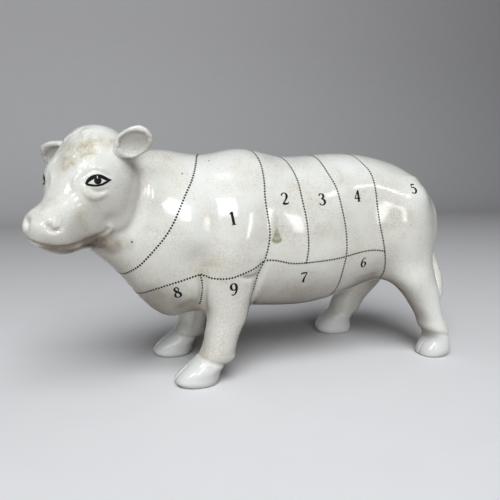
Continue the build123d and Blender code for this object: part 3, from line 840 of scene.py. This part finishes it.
class Pen:
    """Strokes of ink laid on a piece, seen along a line of sight."""

    sunk = 0.00012  # how far a stroke's foot lies in the coat
    thin_edge = 0.55  # thickness at a stroke's edge, as a share of its middle
    eye_height = 0.02  # where a line of sight starts, above the coat

    def __init__(self, ground, thick):
        self.ground, self.thick = BVHTree.FromObject(ground, bpy.context.evaluated_depsgraph_get()), thick
        self.shape = bmesh.new()

    def stroke(self, rows, centre, along, up, size, count=None, tint=0):
        rows = smooth_line(rows, count or 6 * len(rows))
        spots, half = rows[:, :2], np.maximum(rows[:, 2], 0.004)
        run = np.gradient(spots, axis=0)
        side = np.stack((-run[:, 1], run[:, 0]), 1) / np.maximum(np.linalg.norm(run, axis=1), 1e-6)[:, None]
        sight = along.cross(up)
        rings = []
        for spot, width, out in zip(spots, half, side):
            top, foot = [], []
            for share in (-1, -0.4, 0.4, 1):
                u, v = (spot + out * width * share) * size
                hit, lie, _, _ = self.ground.ray_cast(centre + along * u + up * v + sight * self.eye_height, -sight)
                if hit is None:
                    break
                top.append(self.shape.verts.new(hit + lie * (self.thick * (1 if abs(share) < 1 else self.thin_edge))))
                foot.append(self.shape.verts.new(hit - lie * self.sunk))
            if len(top) == 4:
                rings.append(top + foot[::-1])
        for before, after in zip(rings[:-1], rings[1:]):
            for i in range(8):
                self.shape.faces.new((before[i], before[i - 7], after[i - 7], after[i])).material_index = tint
        for ring in (rings[0], rings[-1]):
            self.shape.faces.new(ring).material_index = tint

    def finish(self, name, *materials):
        loose = [v for v in self.shape.verts if not v.link_faces]
        bmesh.ops.delete(self.shape, geom=loose, context="VERTS")
        bmesh.ops.recalc_face_normals(self.shape, faces=self.shape.faces)
        mesh = bpy.data.meshes.new(name)
        self.shape.to_mesh(mesh)
        self.shape.free()
        for material in materials:
            mesh.materials.append(material)
        piece = set_out(name, mesh)
        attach(piece, "root")


# Each number's cut: x along the body, turn round it, height and slant.
number_places = [
    (1, -68, 68, 9.0, 8), (2, -29, 54, 8.4, 2), (3, 0, 55, 8.4, 2), (4, 30, 52, 8.4, 2), (5, 79, 48, 8.4, -4),
    (6, 36, 114, 7.4, 8), (7, -14, 121, 8.4, 4), (8, -105, 132, 8.4, 16), (9, -67.5, 124, 8.4, 6)]
bold = 1.5
pen = Pen(trunk, 0.00007)
for number, x, turn, high, slant in number_places:
    for side in (1, -1):
        hit, lie, _, _ = cast_on(coat, round_body(x, turn * side))
        sight = Vector((lie.x * 0.5, lie.y, lie.z * 0.8)).normalized()
        along = Vector((side, 0, 0))
        along = (along - sight * along.dot(sight)).normalized()
        up = sight.cross(along)
        lean = math.radians(slant)
        along, up = along * math.cos(lean) + up * math.sin(lean), up * math.cos(lean) - along * math.sin(lean)
        for rows in pen_strokes[number]:
            moved = [(a - 0.3, b - 0.5, w * bold) for a, b, w in rows]
            pen.stroke(moved, hit, along, up, high / 1000)
pen.finish("printed_numbers", ink)


# Painted eyes: a black brush line round each lid, a black pupil hung from the
# upper one, and a small white mark between pupil and lid. Rows are millimetres from the pupil.
white_recipe = Recipe("white mark")
white_mottle = white_recipe.noise(500, 2).between(0.4, 0.7)
white_recipe.feed(Base_Color=white_recipe.tint(white_mottle, (0.82, 0.82, 0.8), (0.7, 0.7, 0.68)),
                  Roughness=0.2, Coat_Weight=0.6, Coat_Roughness=0.04)
lid_strokes = [
    [(-7.5, -1.4, .45), (-5.7, 0.5, 1.05), (-3.2, 2.0, 1.2), (0.0, 2.6, 1.2), (3.0, 1.9, 1.1), (5.4, 0.5, 1.0),
     (7.3, -0.1, .62), (8.7, -0.2, .15)],
    [(-7.3, -1.4, .6), (-5.5, -2.0, .72), (-3.2, -2.6, .68), (-0.2, -2.9, .6), (2.6, -2.4, .66), (5.0, -1.4, .7),
     (7.4, -0.4, .5)],
]
lid_reach, pupil_radius, ink_thick, white_thick = 0.96, 2.25, 0.00008, 0.00016
pupil = [(u, 0.0, math.sqrt(max(pupil_radius**2 - u**2, 0.01))) for u in np.linspace(-pupil_radius, pupil_radius, 11)]
upper_join = [(-1.7, 1.6, .5), (-0.8, 1.5, .9), (0.6, 1.5, .9), (1.5, 1.6, .5)]
white_mark = [(-0.05, 3.0, .05), (0.0, 2.5, .24), (0.0, 1.8, .3), (0.05, 1.1, .08)]
eye = (39, 21.6, 15.6)
brush = Pen(head, ink_thick)
for side in (1, -1):
    def beside(f, l, u):
        return on_face(f, l if side > 0 else 2 * eyes_middle - l, u)
    sight = Vector(beside(*eye) - beside(eye[0] - 5.3, eye[1] - 7.1, eye[2] - 4.7)).normalized()
    along = Vector(beside(34.6, 25.8, 12.0) - beside(43.3, 16.6, 16.6)) * side
    along = (along - sight * along.dot(sight)).normalized()
    up = sight.cross(along)
    centre = Vector((beside(*eye) + middle) / 1000) + along * 0.0014 * side - up * 0.0017
    here = (centre, along, up, 0.001)
    for rows in lid_strokes:
        brush.stroke([(u * side * lid_reach, v, w) for u, v, w in rows], *here)
    brush.stroke(pupil, *here, count=25)
    brush.stroke(upper_join, *here)
    brush.thick = white_thick
    brush.stroke(white_mark, *here, tint=1)
    brush.thick = ink_thick
brush.finish("painted_eyes", ink, white_recipe.material)


# The set for the picture: the camera, low in front of the cow's left side, a
# sweep of pale paper under and behind it, and soft lamps. The windows and the
# skylight only mirror in the glaze; the softbox and the fill only light it.
camera = set_out("camera", bpy.data.cameras.new("camera"))
camera.data.lens, camera.data.sensor_width = 37.44, 36
camera.location = (np.array((-171.53, -379.27, 151.73)) + middle) / 1000
camera.rotation_euler = (math.radians(90 - 8.961), 0, math.radians(-19.116))
camera.data.clip_start = 0.01
bpy.context.scene.camera = camera
bpy.context.scene.view_settings.view_transform = "Standard"

behind, bend = 1.1, 0.7  # where the paper turns up behind the cow, and the radius of the turn
quarter = np.linspace(0, math.pi / 2, 16)[1:]
rows = [(behind + bend * math.sin(a), bend - bend * math.cos(a)) for a in quarter]
rows = [(-3.0, 0), (behind, 0), *rows, (behind + bend, 3.2)]
sweep = bpy.data.meshes.new("floor")
sweep.from_pydata([(x, y, z) for y, z in rows for x in (-4, 4)], [],
                  [(2 * i, 2 * i + 1, 2 * i + 3, 2 * i + 2) for i in range(len(rows) - 1)])
for strip in sweep.polygons:
    strip.use_smooth = True
floor = set_out("floor", sweep)
pale = Recipe("pale paper")
grain = pale.noise(30, 3)
pale.feed(Base_Color=pale.tint(grain, (0.74, 0.755, 0.78), (0.77, 0.785, 0.81)), Roughness=0.85, Specular_IOR_Level=0.2)
# The paper is pale to the eye and in the glaze, and throws only a weak warm light back.
rays = ("Is Camera Ray", "Is Glossy Ray", "Is Transmission Ray")
seen = sum(pale.node("LightPath", {}, {}, ray) for ray in rays).maths("MINIMUM", 1.0)
dull = pale.node("BsdfDiffuse", {}, {0: (0.12, 0.075, 0.04, 1)})
shown = pale.node("MixShader", {}, {0: seen, 1: dull, 2: Reading(pale, pale.shader.outputs[0])})
pale.tree.links.new(shown.socket, pale.tree.nodes["Material Output"].inputs[0])
sweep.materials.append(pale.material)

world = bpy.data.worlds.new("studio")
bpy.context.scene.world = world
world.use_nodes = True
sky = world.node_tree.nodes["Background"].inputs
sky["Color"].default_value, sky["Strength"].default_value = (0.86, 0.9, 0.96, 1), 0.06


def lamp(name, aim, turn, rise, far, size, power, shines=True):
    """A soft lamp; turn is from straight in front of the cow's side, rise above level."""
    turn, rise = math.radians(turn), math.radians(rise)
    light = bpy.data.lights.new(name, "AREA")
    light.shape, light.size, light.size_y, light.energy = "RECTANGLE", size[0], size[1], power
    holder = set_out(name, light)
    out = Vector((math.sin(turn) * math.cos(rise), -math.cos(turn) * math.cos(rise), math.sin(rise)))
    holder.location = Vector((np.array(aim) + middle) / 1000) + out * far
    holder.rotation_euler = out.to_track_quat("Z", "Y").to_euler()
    holder.visible_glossy, holder.visible_diffuse = shines, not shines


lamp("window", (-80, -40, 120), -3, 26, 1.3, (0.25, 0.28), 1.6)
lamp("side window", (20, -40, 110), 21, 11, 1.3, (0.13, 0.4), 1.0)
lamp("far window", (30, -40, 135), 38, 36, 1.3, (0.12, 0.13), 0.28)
lamp("near window", (-90, -44, 13), -27, 36, 1.3, (0.13, 0.34), 1.1)
lamp("low window", (100, -46, 9), -67, 36, 1.3, (0.3, 0.34), 2.2)
lamp("skylight", (0, 0, 80), -12, 70, 1.6, (0.36, 0.36), 0.7)
lamp("softbox", (0, 0, 80), -20, 52, 1.8, (1.3, 1.3), 34, False)
lamp("front fill", (20, 0, 40), -16, 9, 1.8, (1.2, 0.35), 12, False)
